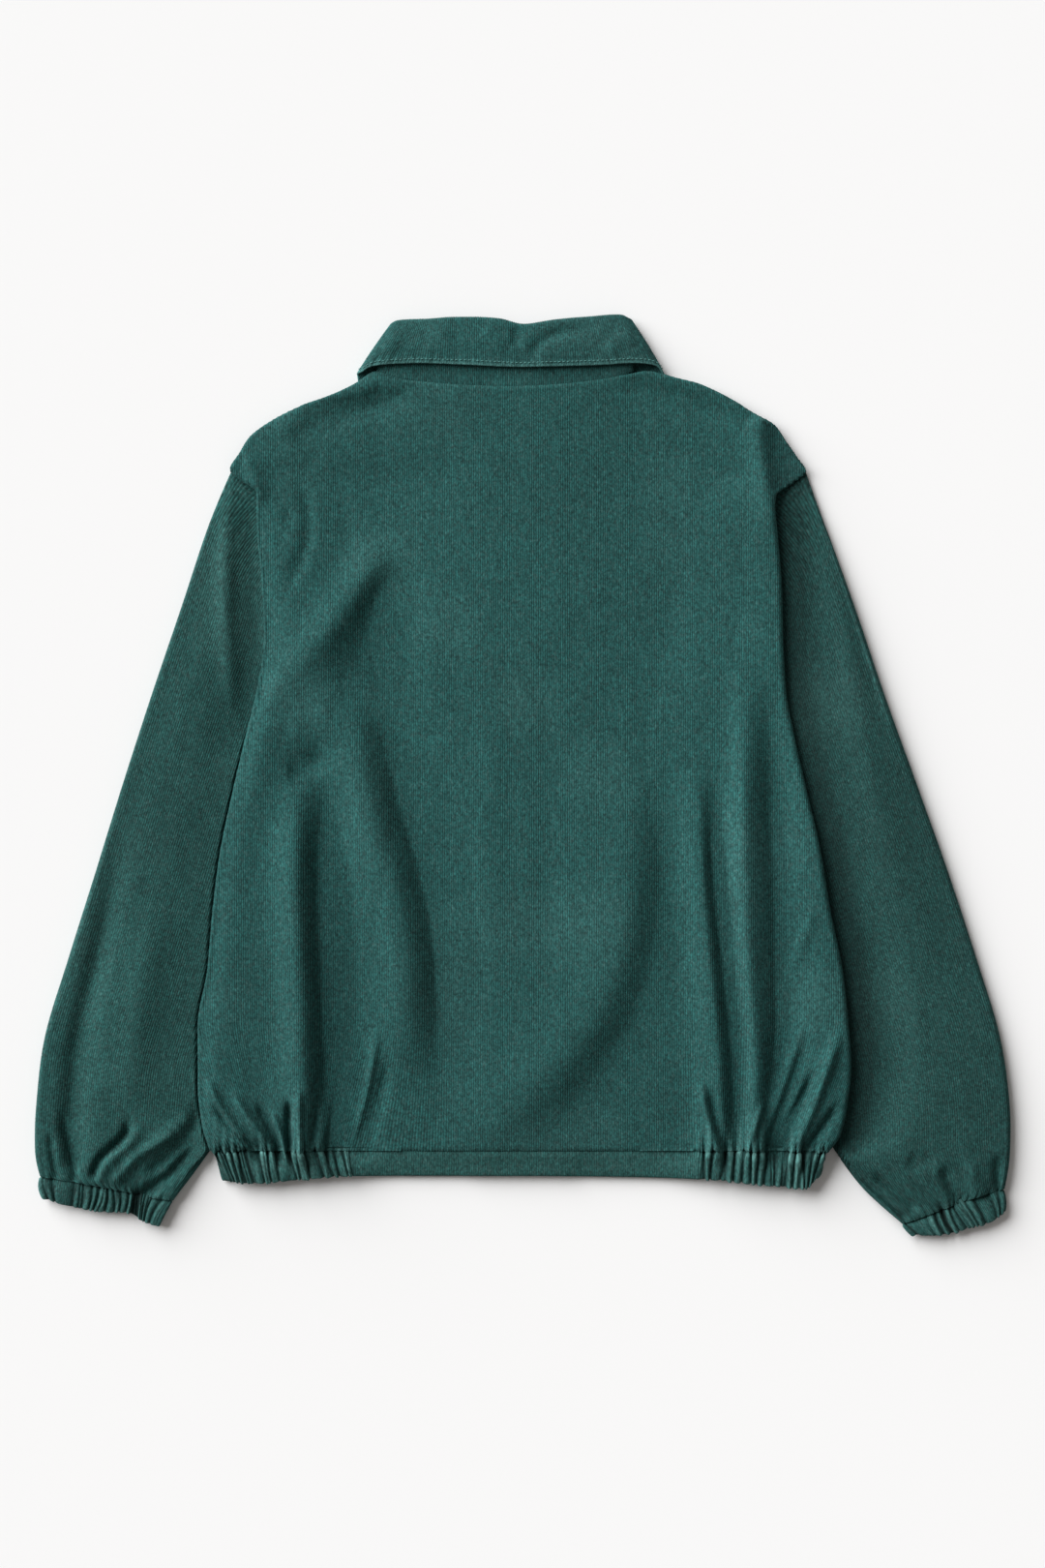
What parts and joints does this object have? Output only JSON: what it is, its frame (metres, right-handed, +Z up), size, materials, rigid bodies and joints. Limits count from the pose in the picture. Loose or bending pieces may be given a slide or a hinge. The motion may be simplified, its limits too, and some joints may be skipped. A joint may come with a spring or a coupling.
{
  "type": "corduroy jacket",
  "caption": "Blouson jacket in fine corduroy, laid out flat on its front with the back up: turned-down collar, full sleeves, gathered cuffs and a gathered hem band.",
  "frame": {"origin": "centre of the outline's box on the surface that the jacket lies on", "axes": "+X to the wearer's right, +Y from the hem to the collar, +Z up from the surface, out of the jacket's back"},
  "size_m": [0.7917, 0.7474, 0.0155],
  "materials": {
    "corduroy": "fine 14-wale cotton corduroy, deep green, soft matt pile",
    "sleeve_corduroy": "the same corduroy, its ribs running down the sleeves",
    "band_corduroy": "the same corduroy, doubled over elastic and worn lighter along its edges",
    "button": "dark green matt resin"
  },
  "bodies": {
    "root": {"back": "corduroy", "front_left": "corduroy", "front_right": "corduroy", "sleeve_left": "sleeve_corduroy", "sleeve_right": "sleeve_corduroy", "cuff_left": "band_corduroy", "cuff_right": "band_corduroy", "hem_band": "band_corduroy", "collar": "corduroy", "button_1": "button", "button_2": "button", "button_3": "button", "button_4": "button", "button_5": "button", "button_6": "button"}
  },
  "joints": []
}
